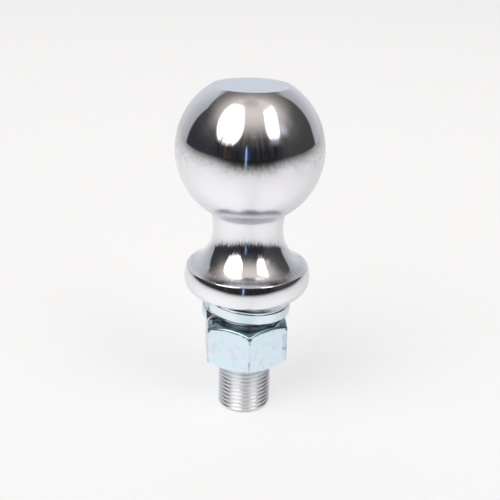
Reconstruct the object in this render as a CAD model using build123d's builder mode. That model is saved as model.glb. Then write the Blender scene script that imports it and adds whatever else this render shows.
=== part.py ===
"""Threaded tow ball: a chromed ball stud, with a split lock washer and a hexagon nut on its shank.

The stud stands upright on the end of its shank. +Z runs up its axis, and the origin is the centre of
the shank's end face. Lengths are in millimetres and angles in degrees.
"""

import os
from math import cos, degrees, pi, radians, sin, sqrt, tan

from build123d import *

# Ball
ball_diameter = 50.8
ball_flat_diameter = 26.2
ball_flat_edge_radius = 0.4

# Neck, and the flare from its foot out to the flange's crease
neck_diameter = 24.5
neck_length = 4.6  # the straight part, between the flare and the root
neck_root_radius = 2.0  # between the neck and the ball
flare_top_height = 23.1  # above the flange's seat

# Flange
flange_diameter = 44.5
flange_foot_width = 4.3  # of the rounding between the seat and the widest point
flange_widest_height = 5.2  # above the flange's seat
flange_crease_height = 9.2  # above the flange's seat
flange_crease_radius = 0.7  # between the side and the flare
flange_side_radius = 11.5  # from the widest point up to the crease

# Shank, at the major diameter of its thread
shank_diameter = 19.05
shank_length = 46.5
shank_end_chamfer = 0.95

# Split lock washer, in its free state
washer_bore_clearance = 0.65  # between the bore's radius and the shank's
washer_wire_width = 5.6
washer_wire_height = 4.5
washer_wire_edge_radius = 1.0
washer_pitch = 4.8
washer_split_gap = 1.0
washer_end_slant = 20.0
washer_split_azimuth = 209.0
washer_tip_lean = 2.0  # how far it leans upwards to its lower tip
washer_play = 0.7  # left between its upper tip and the flange's seat
washer_seat_clearance = 0.2  # between its lower tip and the nut

# Hexagon nut
nut_across_flats = 28.575
nut_height = 16.7
nut_face_diameter = 26.8
nut_chamfer_angle = 30.0
nut_corner_azimuth = 35.9
nut_bore_clearance = 0.05  # between the bore's radius and the shank's
nut_countersink = 0.8

# Levels and radii that follow from the sizes above
shank_radius = shank_diameter / 2
seat_level = shank_length
ball_radius = ball_diameter / 2
ball_flat_radius = ball_flat_diameter / 2
neck_radius = neck_diameter / 2
seat_radius = flange_diameter / 2 - flange_foot_width
washer_bore_radius = shank_radius + washer_bore_clearance
washer_rim_radius = washer_bore_radius + washer_wire_width
washer_coil_radius = (washer_bore_radius + washer_rim_radius) / 2
nut_bore_radius = shank_radius + nut_bore_clearance
nut_mouth_radius = nut_bore_radius + nut_countersink
nut_face_radius = nut_face_diameter / 2
nut_corner_radius = nut_across_flats / sqrt(3)

# The free coil is a left-hand helix, so it can't lie flat on the nut. It rests there on its lower tip,
# over the mouth of the nut's bore, and leans on the shank's thread. These are the slopes of its lean:
# upwards to the tip, and upwards to the point a quarter turn on from it, which makes the coil level
# above the rim of the nut's face half a turn on.
lean_to_tip = tan(radians(washer_tip_lean))
lean_to_quarter = washer_pitch / (2 * pi * nut_face_radius)
tip_lift = lean_to_tip * nut_mouth_radius
washer_stack = (
    washer_pitch + washer_wire_height + lean_to_tip * washer_rim_radius - tip_lift
)
nut_top = seat_level - washer_play - washer_stack - washer_seat_clearance
nut_bottom = nut_top - nut_height

# Points of the stud's profile, as (radius, level)
flange_widest = (flange_diameter / 2, seat_level + flange_widest_height)
side_centre_radius = flange_widest[0] - flange_side_radius
crease_rise = flange_crease_height - flange_widest_height
crease = (
    side_centre_radius + sqrt(flange_side_radius**2 - crease_rise**2),
    seat_level + flange_crease_height,
)

# The crease's arc is tangent to the side's arc at its foot and to the flare's arc at its top.
crease_share = flange_crease_radius / flange_side_radius
crease_centre = (
    crease[0] + crease_share * (side_centre_radius - crease[0]),
    crease[1] - crease_share * crease_rise,
)

# The flare's arc is tangent to the neck at its top and to the crease's arc at its foot.
flare_top = (neck_radius, seat_level + flare_top_height)
flare_span = (flare_top[0] - crease_centre[0], flare_top[1] - crease_centre[1])
flare_radius = (flare_span[0] ** 2 + flare_span[1] ** 2 - flange_crease_radius**2) / (
    2 * (flange_crease_radius - flare_span[0])
)
foot_share = flange_crease_radius / (flange_crease_radius + flare_radius)
flare_foot = (
    crease_centre[0] + foot_share * (flare_span[0] + flare_radius),
    crease_centre[1] + foot_share * flare_span[1],
)

# The root's arc is tangent to the neck at its foot and to the ball at its top.
root_centre_radius = neck_radius + neck_root_radius
root_centre_drop = sqrt((ball_radius + neck_root_radius) ** 2 - root_centre_radius**2)
root_share = ball_radius / (ball_radius + neck_root_radius)
root_foot = (neck_radius, flare_top[1] + neck_length)
ball_centre = root_foot[1] + root_centre_drop
root_top = (root_share * root_centre_radius, ball_centre - root_share * root_centre_drop)
ball_equator = (ball_radius, ball_centre)
ball_flat_level = ball_centre + sqrt(ball_radius**2 - ball_flat_radius**2)
ball_flat_edge = (ball_flat_radius, ball_flat_level)

# Ball stud: ball, neck, flange and shank turned in one piece

with BuildPart() as tow_ball:
    with BuildSketch(Plane.XZ):
        with BuildLine():
            Polyline(
                ball_flat_edge,
                (0, ball_flat_level),
                (0, 0),
                (shank_radius, 0),
                (shank_radius, seat_level),
                (seat_radius, seat_level),
            )
            EllipticalCenterArc(
                (seat_radius, flange_widest[1]),
                flange_foot_width,
                flange_widest_height,
                start_angle=-90,
                arc_size=90,
            )
            RadiusArc(flange_widest, crease, -flange_side_radius)
            RadiusArc(crease, flare_foot, -flange_crease_radius)
            RadiusArc(flare_foot, flare_top, flare_radius)
            Line(flare_top, root_foot)
            RadiusArc(root_foot, root_top, neck_root_radius)
            RadiusArc(root_top, ball_equator, -ball_radius)
            RadiusArc(ball_equator, ball_flat_edge, -ball_radius)
        make_face()
    revolve(axis=Axis.Z)
    fillet(tow_ball.edges().sort_by(Axis.Z)[-1], radius=ball_flat_edge_radius)
    chamfer(tow_ball.edges().sort_by(Axis.Z)[0], length=shank_end_chamfer)

# Hexagon nut, chamfered at both ends and countersunk at both mouths of its bore
nut_chamfer_drop = (nut_corner_radius - nut_face_radius) * tan(radians(nut_chamfer_angle))

with BuildPart() as hex_nut:
    with BuildSketch(Plane.XY.offset(nut_bottom)):
        RegularPolygon(radius=nut_corner_radius, side_count=6, rotation=nut_corner_azimuth)
        Circle(nut_bore_radius, mode=Mode.SUBTRACT)
    extrude(amount=nut_height)
    with BuildSketch(Plane.XZ):
        with BuildLine():
            Polyline(
                (0, nut_bottom),
                (nut_face_radius, nut_bottom),
                (nut_corner_radius, nut_bottom + nut_chamfer_drop),
                (nut_corner_radius, nut_top - nut_chamfer_drop),
                (nut_face_radius, nut_top),
                (0, nut_top),
                close=True,
            )
        make_face()
    revolve(axis=Axis.Z, mode=Mode.INTERSECT)
    bore_mouths = hex_nut.edges().filter_by(GeomType.CIRCLE).sort_by(SortBy.RADIUS)[:2]
    chamfer(bore_mouths, length=nut_countersink)

# Split lock washer: one turn of rounded wire with slanted ends, coiled upright from its lower tip
split_angle = degrees(washer_split_gap / washer_coil_radius)

with BuildPart() as upright_coil:
    with BuildLine() as turn:
        Helix(
            pitch=washer_pitch,
            height=washer_pitch * (1 - split_angle / 360),
            radius=washer_coil_radius,
            lefthand=True,
        )
    tip_plane = Plane(origin=turn.line @ 0, x_dir=(1, 0, 0), z_dir=turn.line % 0)
    with BuildSketch(tip_plane.rotated((washer_end_slant, 0, 0))):
        RectangleRounded(
            washer_wire_width,
            washer_wire_height / cos(radians(washer_end_slant)),
            washer_wire_edge_radius,
        )
    sweep(path=turn.line, is_frenet=True)

# The coil is then laid on the nut, leaning, with its middle centred on the shank.
to_tip = (cos(radians(washer_split_azimuth)), sin(radians(washer_split_azimuth)))
to_quarter = (to_tip[1], -to_tip[0])
lean_x = lean_to_tip * to_tip[0] + lean_to_quarter * to_quarter[0]
lean_y = lean_to_tip * to_tip[1] + lean_to_quarter * to_quarter[1]
resting_plane = Plane(
    origin=(
        lean_x * washer_pitch / 2,
        lean_y * washer_pitch / 2,
        nut_top + washer_seat_clearance + washer_wire_height / 2 - tip_lift,
    ),
    x_dir=(to_tip[0], to_tip[1], lean_to_tip),
    z_dir=(-lean_x, -lean_y, 1),
)

with BuildPart() as lock_washer:
    with Locations(resting_plane):
        add(upright_coil.part)

tow_ball.part.label = "tow_ball"
hex_nut.part.label = "hex_nut"
lock_washer.part.label = "lock_washer"

os.makedirs("parts", exist_ok=True)
export_step(tow_ball.part, "parts/tow_ball.step")
export_step(hex_nut.part, "parts/hex_nut.step")
export_step(lock_washer.part, "parts/lock_washer.step")
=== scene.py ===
"""Looks of a threaded tow ball: a chromed ball stud, its split lock washer and its hexagon nut.

The sizes below are in millimetres and degrees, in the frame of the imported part: +Z up the stud's
axis, with the origin at the centre of the shank's end face. Meshes are written in metres.
"""

import logging
from dataclasses import dataclass
from enum import Enum

import bpy
import numpy as np
from mathutils import Matrix, Vector

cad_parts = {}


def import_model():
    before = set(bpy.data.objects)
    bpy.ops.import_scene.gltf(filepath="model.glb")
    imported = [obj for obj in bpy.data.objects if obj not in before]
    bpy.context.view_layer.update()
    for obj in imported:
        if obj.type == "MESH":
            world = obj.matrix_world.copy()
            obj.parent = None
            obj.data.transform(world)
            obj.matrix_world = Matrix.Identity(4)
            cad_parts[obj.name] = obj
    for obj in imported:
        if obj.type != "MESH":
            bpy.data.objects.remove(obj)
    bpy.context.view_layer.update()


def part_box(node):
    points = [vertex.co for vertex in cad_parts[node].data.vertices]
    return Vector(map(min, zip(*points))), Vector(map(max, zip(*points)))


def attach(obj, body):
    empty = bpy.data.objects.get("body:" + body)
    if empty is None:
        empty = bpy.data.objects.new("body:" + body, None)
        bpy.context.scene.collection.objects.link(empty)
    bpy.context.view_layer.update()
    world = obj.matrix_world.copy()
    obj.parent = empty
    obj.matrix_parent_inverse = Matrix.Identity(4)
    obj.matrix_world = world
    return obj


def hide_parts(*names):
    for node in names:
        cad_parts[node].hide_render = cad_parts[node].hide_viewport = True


LOG = logging.getLogger("tow_ball")
MILLIMETRE = 0.001  # in metres
PER_METRE = 1.0 / MILLIMETRE  # millimetres in a metre
DEGREES = 180.0 / np.pi  # in a radian
UP = np.array([0.0, 0.0, 1.0])
BLACK = (0.0, 0.0, 0.0)
NOISE_MEAN = 0.5
HEXAGON_TURN = 60.0  # degrees from one corner of a hexagon to the next

# Sizes that more than one piece takes
SEAT_LEVEL = 46.5
SHANK_RADIUS = 9.525
NUT_FACE_RADIUS = 13.4
NUT_MOUTH_RADIUS = 10.375
NUT_CHAMFER_ANGLE = 30.0
NUT_CORNER_AZIMUTH = 35.9

Array = np.ndarray
Colour = tuple[float, float, float]
Step = tuple[float, float]  # the values at which a mask is 0 and 1
Band = tuple[float, float, float]  # a mask's two edges, and how soft they are
Zone = tuple[float, float, float, float]  # where a mask starts, is full, is last full and ends
Stops = tuple[tuple[float, float], ...]  # pairs of a number and the value that it gives


class Body(Enum):
    """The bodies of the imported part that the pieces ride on."""

    STUD = "ball_stud"
    WASHER = "washer"
    NUT = "nut"


class Slot(Enum):
    """The record's material slots."""

    CHROME = "chrome_plate"
    WASHER_ZINC = "zinc_plate_washer"
    NUT_ZINC = "zinc_plate_nut"


class Piece(Enum):
    """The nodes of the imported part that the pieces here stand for."""

    STUD = "tow_ball"
    WASHER = "lock_washer"
    NUT = "hex_nut"


# Numpy shapes


def smoothstep(value: Array, low: float, high: float) -> Array:
    """Rises from 0 at low to 1 at high along the cubic 3t^2 - 2t^3.

    Args:
        value: Where it is worked out.
        low: The value at which it leaves 0.
        high: The value at which it reaches 1.

    Returns:
        The share from 0 to 1, in value's shape.
    """
    share = np.clip((value - low) / (high - low), 0.0, 1.0)
    return share * share * (3.0 - 2.0 * share)


def arc(centre: Array, radius: float, start: float, end: float, step: float) -> Array:
    """Samples a round stretch of a profile: centre + radius (cos a, sin a), a from start to end.

    Args:
        centre: The arc's centre, as (radius from the axis, level).
        radius: The arc's radius.
        start: The angle of its first point, in degrees from the outward direction.
        end: The angle of its last point.
        step: The largest turn between two points, in degrees.

    Returns:
        The points, one row each, with both ends.
    """
    count = int(np.ceil(abs(end - start) / step)) + 1
    angle = np.radians(np.linspace(start, end, count))
    return centre + radius * np.stack([np.cos(angle), np.sin(angle)], axis=-1)


def meeting(first: Array, first_radius: float, second: Array, second_radius: float) -> Array:
    """Finds where two circles meet, on the right of the way from the first centre to the second.

    Args:
        first: The first circle's centre.
        first_radius: Its radius.
        second: The second circle's centre.
        second_radius: Its radius.

    Returns:
        The point. Its way along the line of centres is (a^2 - b^2 + d^2) / 2 d, where a and b are
        the radii and d is the distance of the centres.
    """
    line = second - first
    distance = np.hypot(*line)
    along = (first_radius**2 - second_radius**2 + distance**2) / (2 * distance)
    across = np.sqrt(first_radius**2 - along**2)
    right = np.array([line[1], -line[0]])
    return first + (along * line + across * right) / distance


def stretch(first: tuple[float, float], last: tuple[float, float], count: int) -> Array:
    """Spaces points evenly on a straight stretch of a profile, with both ends.

    Args:
        first: The first point, as (radius, level).
        last: The last point.
        count: How many points it has.

    Returns:
        The points, one row each.
    """
    return np.linspace(first, last, count)


def radial(turn: Array) -> Array:
    """Gives the unit vectors (cos turn, sin turn, 0) that point out from the axis."""
    return np.stack([np.cos(turn), np.sin(turn), np.zeros_like(turn)], axis=-1)


def revolve(profile: Array, turn: Array) -> Array:
    """Carries a profile round the axis: the point (r, z) goes to r (cos turn, sin turn) at level z.

    Args:
        profile: Points (r, z), either one list for all turns or one for each: rows, columns, 2.
        turn: The angle of each column, in radians.

    Returns:
        The grid of points: rows, columns, 3.
    """
    if profile.ndim == 2:
        profile = np.repeat(profile[:, None, :], len(turn), axis=1)
    return profile[..., :1] * radial(turn)[None] + profile[..., 1:] * UP


def mesh_object(name: str, points: Array, faces: list[list[int]]) -> bpy.types.Object:
    """Makes a mesh object at the origin, with its place in its mesh.

    Args:
        name: The object's name.
        points: Its points in millimetres, one row each.
        faces: The numbers of each face's points, anticlockwise from outside.

    Returns:
        The object, linked to the scene.
    """
    mesh = bpy.data.meshes.new(name)
    mesh.from_pydata(points * MILLIMETRE, [], faces)
    piece = bpy.data.objects.new(name, mesh)
    bpy.context.scene.collection.objects.link(piece)
    return piece


def grid_piece(name: str, rings: Array, closed: bool = False) -> bpy.types.Object:
    """Makes a closed mesh of a grid whose columns run once round each ring.

    Neighbouring rings are joined by quads. The first and the last ring close on a pole at their
    middle, or join each other if the grid is closed.

    Args:
        name: The piece's name.
        rings: The grid of points in millimetres: rings, points round a ring, 3.
        closed: Whether the last ring joins the first, as on a nut.

    Returns:
        The object, with smooth faces.
    """
    rows, columns = rings.shape[:2]
    index = np.arange(rows * columns).reshape(rows, columns)
    upper = np.roll(index, -1, axis=0) if closed else index[1:]
    lower = index if closed else index[:-1]
    quads = np.stack([lower, np.roll(lower, -1, 1), np.roll(upper, -1, 1), upper], axis=-1)
    faces = quads.reshape(-1, 4).tolist()
    points = rings.reshape(-1, 3)
    if not closed:
        poles = rings[[0, -1]].mean(axis=1)
        points = np.concatenate([points, poles])
        first_pole = np.full(columns, rows * columns)
        first_fan = np.stack([first_pole, np.roll(index[0], -1), index[0]], axis=-1)
        last_fan = np.stack([first_pole + 1, index[-1], np.roll(index[-1], -1)], axis=-1)
        faces += first_fan.tolist() + last_fan.tolist()
    piece = mesh_object(name, points, faces)
    piece.data.validate()
    piece.data.shade_smooth()
    return piece


def dress(
    piece: bpy.types.Object, material: bpy.types.Material, body: Body, node: Piece
) -> bpy.types.Object:
    """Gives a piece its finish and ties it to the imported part.

    Args:
        piece: The finished mesh object.
        material: Its finish.
        body: The body that it moves with.
        node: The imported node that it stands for.

    Returns:
        The same piece.
    """
    piece.data.materials.append(material)
    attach(piece, body.value)
    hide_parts(node.value)
    return piece


# Shader nodes


def feed(target: bpy.types.NodeSocket, value: object) -> None:
    """Gives a node's input its value, or links it to what gives the value.

    Args:
        target: The input.
        value: A plain value, a Scalar, or another node's output.
    """
    source = value.socket if isinstance(value, Scalar) else value
    if isinstance(source, bpy.types.NodeSocket):
        target.id_data.links.new(source, target)
    else:
        target.default_value = source


class Scalar:
    """A number that varies over a surface or with direction, built up from nodes by arithmetic."""

    def __init__(self, socket: bpy.types.NodeSocket) -> None:
        """Holds the socket that gives the number, and the node tree that it is in."""
        self.socket = socket
        self.tree = socket.id_data

    def math(self, operation: str, *others: "Scalar | float") -> "Scalar":
        """Adds a Math node.

        Args:
            operation: The node's operation, such as MULTIPLY.
            others: The operands after this one.

        Returns:
            The node's result.
        """
        node = self.tree.nodes.new("ShaderNodeMath")
        node.operation = operation
        for target, value in zip(node.inputs, (self, *others)):
            feed(target, value)
        return Scalar(node.outputs[0])

    def __add__(self, other: "Scalar | float") -> "Scalar":
        """Adds."""
        return self.math("ADD", other)

    def __sub__(self, other: "Scalar | float") -> "Scalar":
        """Subtracts."""
        return self.math("SUBTRACT", other)

    def __mul__(self, other: "Scalar | float") -> "Scalar":
        """Multiplies."""
        return self.math("MULTIPLY", other)

    def largest(self, other: "Scalar | float") -> "Scalar":
        """Gives the larger of the two."""
        return self.math("MAXIMUM", other)

    def remainder(self) -> "Scalar":
        """Gives what this number leaves of 1."""
        return self * -1.0 + 1.0

    def rise(self, low: float, high: float) -> "Scalar":
        """Goes smoothly from 0 at low to 1 at high, or from 1 to 0 if low is the larger.

        Args:
            low: The value that gives 0.
            high: The value that gives 1.

        Returns:
            The share from 0 to 1.
        """
        node = self.tree.nodes.new("ShaderNodeMapRange")
        node.interpolation_type = "SMOOTHSTEP"
        start, end = (0.0, 1.0) if low < high else (1.0, 0.0)
        values = (self, min(low, high), max(low, high), start, end)
        for name, value in zip(("Value", "From Min", "From Max", "To Min", "To Max"), values):
            feed(node.inputs[name], value)
        return Scalar(node.outputs["Result"])

    def zone(self, start: float, full: float, last: float, end: float) -> "Scalar":
        """Is 1 from full to last, and falls smoothly to 0 at start and at end."""
        return self.rise(start, full) * self.rise(end, last)

    def within(self, low: float, high: float, softness: float) -> "Scalar":
        """Is 1 from low to high and 0 outside, with edges that are softness wide on each side."""
        return self.zone(low - softness, low + softness, high - softness, high + softness)

    def follow(self, stops: Stops) -> "Scalar":
        """Reads a value off an eased line through a few stops.

        Args:
            stops: Pairs of this number and the value that it gives, rising in the first.

        Returns:
            The value, which stays level beyond the first and the last stop.
        """
        start, end = stops[0][0], stops[-1][0]
        lowest = min(value for _, value in stops)
        span = max(value for _, value in stops) - lowest
        node = self.tree.nodes.new("ShaderNodeValToRGB")
        node.color_ramp.interpolation = "CARDINAL"
        elements = node.color_ramp.elements
        while len(elements) < len(stops):
            elements.new(1.0)
        for element, (place, value) in zip(elements, stops):
            element.position = (place - start) / (end - start)
            element.color = (*((value - lowest) / span,) * 3, 1.0)
        feed(node.inputs["Fac"], (self - start) * (1.0 / (end - start)))
        return Scalar(node.outputs["Color"]) * span + lowest


def mix(share: Scalar, first: object, second: object) -> bpy.types.NodeSocket:
    """Mixes two colours.

    Args:
        share: How much of the second colour shows.
        first: A colour, or a socket that gives one.
        second: A colour, or a socket that gives one.

    Returns:
        The socket of the mixed colour.
    """
    node = share.tree.nodes.new("ShaderNodeMix")
    node.data_type = "RGBA"
    feed(next(i for i in node.inputs if i.name == "Factor" and i.type == "VALUE"), share)
    sides = [i for i in node.inputs if i.type == "RGBA"]
    for side, colour in zip(sides, (first, second)):
        feed(side, colour if isinstance(colour, bpy.types.NodeSocket) else (*colour, 1.0))
    return next(o for o in node.outputs if o.type == "RGBA")


def split(vector: bpy.types.NodeSocket) -> tuple[Scalar, ...]:
    """Splits a vector into its three numbers."""
    node = vector.id_data.nodes.new("ShaderNodeSeparateXYZ")
    feed(node.inputs[0], vector)
    return tuple(Scalar(node.outputs[axis]) for axis in "XYZ")


def combine(parts: dict[str, Scalar]) -> bpy.types.NodeSocket:
    """Joins numbers, each under its axis, into a vector whose other numbers are 0."""
    tree = next(iter(parts.values())).tree
    node = tree.nodes.new("ShaderNodeCombineXYZ")
    for axis, part in parts.items():
        feed(node.inputs[axis], part)
    return node.outputs[0]


def vector_math(
    operation: str, *vectors: bpy.types.NodeSocket, scale: Scalar | None = None
) -> bpy.types.NodeSocket:
    """Adds a Vector Math node.

    Args:
        operation: The node's operation, such as ADD.
        vectors: The sockets of the vectors that it takes.
        scale: What the operation SCALE multiplies by.

    Returns:
        The socket of the result.
    """
    node = vectors[0].id_data.nodes.new("ShaderNodeVectorMath")
    node.operation = operation
    for target, vector in zip(node.inputs, vectors):
        feed(target, vector)
    if scale is not None:
        feed(node.inputs["Scale"], scale)
    return node.outputs[0]


def noise(place: bpy.types.NodeSocket, detail: float) -> Scalar:
    """Adds cloudy noise, about 0 to 1 and mostly near its mean.

    Args:
        place: The vector that it is read at. It has about one cloud in each unit.
        detail: How many finer layers it has.

    Returns:
        The noise.
    """
    node = place.id_data.nodes.new("ShaderNodeTexNoise")
    for name, value in (("Vector", place), ("Scale", 1.0), ("Detail", detail)):
        feed(node.inputs[name], value)
    return Scalar(next(o for o in node.outputs if o.type == "VALUE"))


def pattern_group() -> bpy.types.NodeTree:
    """Builds the cloudy pattern that the finishes share, once, as a node group.

    Its inputs are the place that it is read at, how many times it repeats in each unit of that
    place, a shift, and the two values of the noise between which the mask rises.

    Returns:
        The group, which puts out the noise and the mask.
    """
    name = "cloud_pattern"
    if name in bpy.data.node_groups:
        return bpy.data.node_groups[name]
    group = bpy.data.node_groups.new(name, "ShaderNodeTree")
    sockets = {
        "Place": "NodeSocketVector",
        "Repeats": "NodeSocketVector",
        "Shift": "NodeSocketVector",
        "Low": "NodeSocketFloat",
        "High": "NodeSocketFloat",
    }
    for socket, kind in sockets.items():
        group.interface.new_socket(name=socket, in_out="INPUT", socket_type=kind)
    for socket in ("Noise", "Mask"):
        group.interface.new_socket(name=socket, in_out="OUTPUT", socket_type="NodeSocketFloat")
    entry = group.nodes.new("NodeGroupInput")
    leave = group.nodes.new("NodeGroupOutput")
    mapping = group.nodes.new("ShaderNodeMapping")
    rise = group.nodes.new("ShaderNodeMapRange")
    rise.interpolation_type = "SMOOTHSTEP"
    clouds = noise(mapping.outputs["Vector"], 3.0)
    for target, source in (
        (mapping.inputs["Vector"], entry.outputs["Place"]),
        (mapping.inputs["Scale"], entry.outputs["Repeats"]),
        (mapping.inputs["Location"], entry.outputs["Shift"]),
        (rise.inputs["Value"], clouds),
        (rise.inputs["From Min"], entry.outputs["Low"]),
        (rise.inputs["From Max"], entry.outputs["High"]),
        (leave.inputs["Noise"], clouds),
        (leave.inputs["Mask"], rise.outputs["Result"]),
    ):
        feed(target, source)
    return group


@dataclass(frozen=True)
class Cloud:
    """One use of the shared cloudy pattern."""

    repeats: tuple[float, float, float]
    shift: float = 0.0
    low: float = 0.35
    high: float = 0.65

    def read(self, place: bpy.types.NodeSocket) -> tuple[Scalar, Scalar]:
        """Reads the pattern in a material.

        Args:
            place: The coordinates that it is read at.

        Returns:
            The noise, about 0 to 1 and mostly near its mean, and the mask.
        """
        node = place.id_data.nodes.new("ShaderNodeGroup")
        node.node_tree = pattern_group()
        values = (place, self.repeats, (self.shift,) * 3, self.low, self.high)
        for name, value in zip(("Place", "Repeats", "Shift", "Low", "High"), values):
            feed(node.inputs[name], value)
        return Scalar(node.outputs["Noise"]), Scalar(node.outputs["Mask"])


class Metal:
    """A metallic material whose colour, roughness and bump are worked out by nodes."""

    def __init__(self, name: str) -> None:
        """Starts the material with a plain metallic surface, and finds each point's place on it."""
        self.material = bpy.data.materials.new(name)
        self.material.use_nodes = True
        self.tree = self.material.node_tree
        self.shader = self.tree.nodes["Principled BSDF"]
        self.shader.inputs["Metallic"].default_value = 1.0
        self.place = self.tree.nodes.new("ShaderNodeTexCoord").outputs["Object"]
        across, along, height = split(self.place)
        self.level = height * PER_METRE
        self.turn = across.math("ARCTAN2", along)
        self.reach = (across * across + along * along).math("SQRT") * PER_METRE
        on_circle = {"X": self.turn.math("SINE"), "Y": self.turn.math("COSINE"), "Z": height}
        self.round_axis = combine(on_circle)

    def cloud(self, cloud: Cloud, round_axis: bool = False) -> tuple[Scalar, Scalar]:
        """Reads a cloudy pattern, on the object's coordinates or on those round its axis."""
        return cloud.read(self.round_axis if round_axis else self.place)

    def colour(self, socket: bpy.types.NodeSocket) -> None:
        """Sets the colour."""
        feed(self.shader.inputs["Base Color"], socket)

    def roughness(self, value: Scalar) -> None:
        """Sets the roughness."""
        feed(self.shader.inputs["Roughness"], value)

    def tilt(self, slope: Scalar) -> bpy.types.NodeSocket:
        """Leans the surface's normal upwards, as along brushed hairs.

        Args:
            slope: How far it leans, as a share of the normal's length.

        Returns:
            The socket of the leaning normal.
        """
        geometry = self.tree.nodes.new("ShaderNodeNewGeometry")
        leaning = vector_math("ADD", geometry.outputs["Normal"], combine({"Z": slope}))
        return vector_math("NORMALIZE", leaning)

    def bump(
        self, height: Scalar, depth: float, normal: bpy.types.NodeSocket | None = None
    ) -> None:
        """Raises the surface by a height of 0 to 1 times depth.

        Args:
            height: The pattern.
            depth: How deep it is, in millimetres.
            normal: The normal that it starts from, if it isn't the mesh's own.
        """
        node = self.tree.nodes.new("ShaderNodeBump")
        feed(node.inputs["Distance"], depth * MILLIMETRE)
        feed(node.inputs["Height"], height)
        if normal is not None:
            feed(node.inputs["Normal"], normal)
        feed(self.shader.inputs["Normal"], node.outputs["Normal"])


@dataclass(frozen=True)
class MirrorChrome:
    """Bright chrome on the ball and flange, brushed on the neck and flare, plain on the shank."""

    bright: Colour = (0.93, 0.925, 0.958)
    clouded: Colour = (0.905, 0.90, 0.932)
    # painted shade: the root under the ball is tinted a darker grey-blue
    root: Colour = (0.86, 0.875, 0.925)
    # dark grey for the streaks on the crease and the foot, and for the painted contact shadow at
    # the shank's end
    streak_and_shadow_grey: Colour = (0.42, 0.42, 0.44)
    shank: Colour = (0.90, 0.905, 0.93)
    polished: float = 0.07
    brushed_neck: float = 0.13
    brushed_root: float = 0.28
    brushed_foot: float = 0.26
    shank_gloss: float = 0.29
    smear_gloss: float = 0.04
    clouds: Cloud = Cloud((60.0, 60.0, 60.0), low=0.35, high=0.75)
    smears: Cloud = Cloud((30.0, 30.0, 400.0), shift=3.0)
    rings: Cloud = Cloud((10.0, 10.0, 3000.0))
    hairs: Cloud = Cloud((34.0, 34.0, 45.0), shift=5.0)
    fringes: Cloud = Cloud((26.0, 26.0, 420.0), shift=8.0)
    # painted contact shadow: the levels over which the shank darkens towards its end
    end_shadow_levels: Step = (0.9, 0.4)
    above_seat: Step = (SEAT_LEVEL - 0.5, SEAT_LEVEL + 0.5)
    brushed_levels: Zone = (55.4, 56.4, 75.0, 76.0)
    foot_levels: Zone = (56.2, 56.7, 56.9, 58.6)
    crease_levels: Band = (56.2, 56.95, 0.15)
    neck_levels: Zone = (62.5, 68.0, 74.4, 75.6)
    waist_fringe: Band = (63.5, 71.0, 1.5)
    root_levels: Zone = (73.8, 75.2, 80.0, 88.0)
    ball_fringe: Band = (92.5, 99.5, 1.5)
    front: Step = (-0.5, -0.85)  # of the cosine of the turn away from the back
    # how dark the painted contact shadow at the shank's end gets
    end_shadow_share: float = 0.7
    foot_dullness: float = 0.25
    crease_dullness: float = 0.6
    crease_hairs: float = 0.35
    ball_raggedness: float = 0.5
    fringe_slope: float = 0.2
    hair_height: float = 3.0  # against the turning marks
    mark_depth: float = 0.0015

    def build(self) -> bpy.types.Material:
        """Builds the material.

        Returns:
            The material: chrome with faint clouds and turning marks. Above the flange it is brushed
            along the neck and the flare, the most in the root under the ball, which has painted
            shade as a darker grey-blue tint, and in front it is dull where the flare ends. The
            shank has a painted contact shadow towards its end.
        """
        metal = Metal("bright_chrome")
        _, clouds = metal.cloud(self.clouds)
        smears, _ = metal.cloud(self.smears)
        rings, _ = metal.cloud(self.rings)
        hairs, hair_lines = metal.cloud(self.hairs, round_axis=True)
        fringes, _ = metal.cloud(self.fringes, round_axis=True)
        level = metal.level
        above = level.rise(*self.above_seat)
        foot = level.zone(*self.foot_levels)
        root = level.zone(*self.root_levels)
        chrome = mix(clouds, self.bright, self.clouded)
        # painted shade: a darker grey-blue tint in the root under the ball
        chrome = mix(root, chrome, self.root)
        front = metal.turn.math("COSINE").rise(*self.front)
        hair_dullness = hair_lines * self.crease_hairs + self.crease_dullness
        crease = level.within(*self.crease_levels) * hair_dullness * front
        dulled = crease.largest(foot * hair_lines * self.foot_dullness)
        chrome = mix(dulled, chrome, self.streak_and_shadow_grey)
        # painted contact shadow: the shank darkens towards its end, where it stands on the floor
        shank = mix(level.rise(*self.end_shadow_levels) * self.end_shadow_share, self.shank, self.streak_and_shadow_grey)
        metal.colour(mix(above, shank, chrome))
        neck = level.zone(*self.neck_levels)
        gloss = neck * (self.brushed_neck - self.polished) + self.polished
        gloss = gloss + root * (self.brushed_root - self.polished)
        gloss = gloss + foot * (self.brushed_foot - self.polished)
        gloss = above * (gloss - self.shank_gloss) + self.shank_gloss
        metal.roughness(gloss + (smears - NOISE_MEAN) * self.smear_gloss)
        on_ball = level.within(*self.ball_fringe) * self.ball_raggedness
        ragged = level.within(*self.waist_fringe) + on_ball + foot
        leaning = metal.tilt((fringes - NOISE_MEAN) * ragged * self.fringe_slope)
        marks = rings + hairs * level.zone(*self.brushed_levels) * self.hair_height
        metal.bump(marks * above, self.mark_depth, leaning)
        return metal.material


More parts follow.
